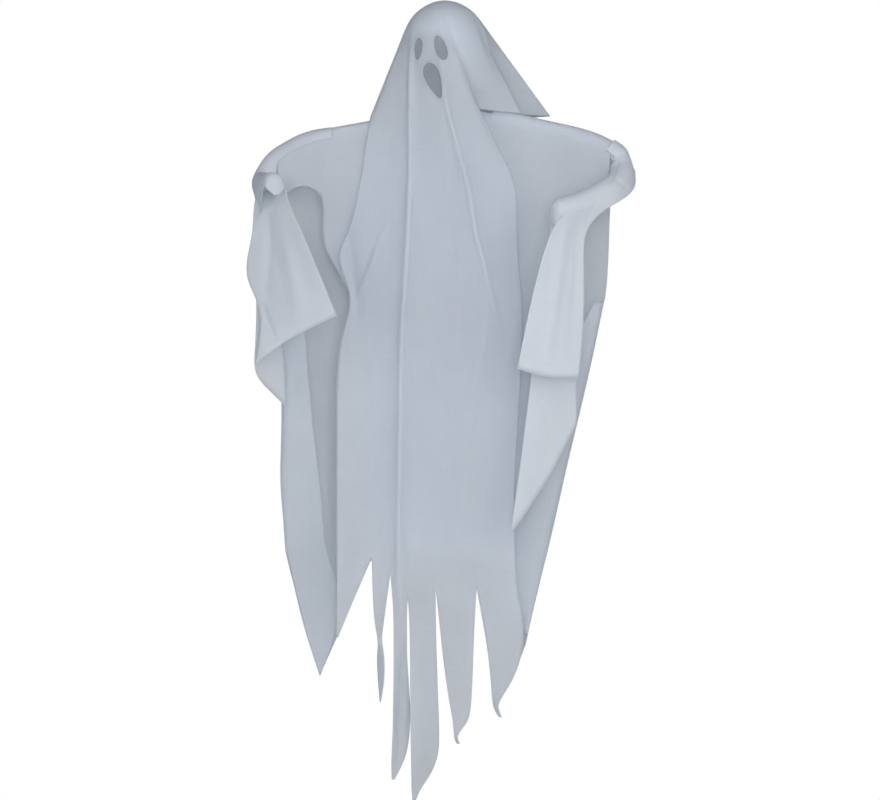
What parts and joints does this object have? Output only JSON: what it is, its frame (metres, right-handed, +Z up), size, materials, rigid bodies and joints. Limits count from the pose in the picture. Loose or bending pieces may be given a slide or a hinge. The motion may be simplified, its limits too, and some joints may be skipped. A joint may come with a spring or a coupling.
{
  "type": "hanging fabric ghost decoration",
  "caption": "Hanging ghost decoration of thin semi-sheer cloth: a long slashed veil over a foam head, a poncho robe over bendable arms and loose hanging sleeves",
  "frame": {"origin": "the hanging point on top of the head, on the axis of the foam head and the neck post", "axes": "+X is the viewer's right, +Y is the ghost's back, so it faces -Y, and +Z is up, the way it hangs"},
  "size_m": [0.4426, 0.1575, 0.9088],
  "materials": {
    "sheer_cloth": "thin, slightly stiff, semi-sheer white cloth with a cool cast",
    "grey_gauze": "fine grey gauze",
    "white_foam": "fine-grained white foam",
    "white_plastic": "moulded, satin",
    "steel_wire": "drawn soft steel wire"
  },
  "bodies": {
    "root": {"head_form": "white_foam", "neck_post": "white_plastic", "arm_wire": "steel_wire", "arm_padding_left": "white_foam", "arm_padding_right": "white_foam", "robe": "sheer_cloth", "sleeve_left": "sheer_cloth", "sleeve_right": "sheer_cloth", "veil": "sheer_cloth", "eye_left": "grey_gauze", "eye_right": "grey_gauze", "mouth": "grey_gauze"}
  },
  "joints": []
}
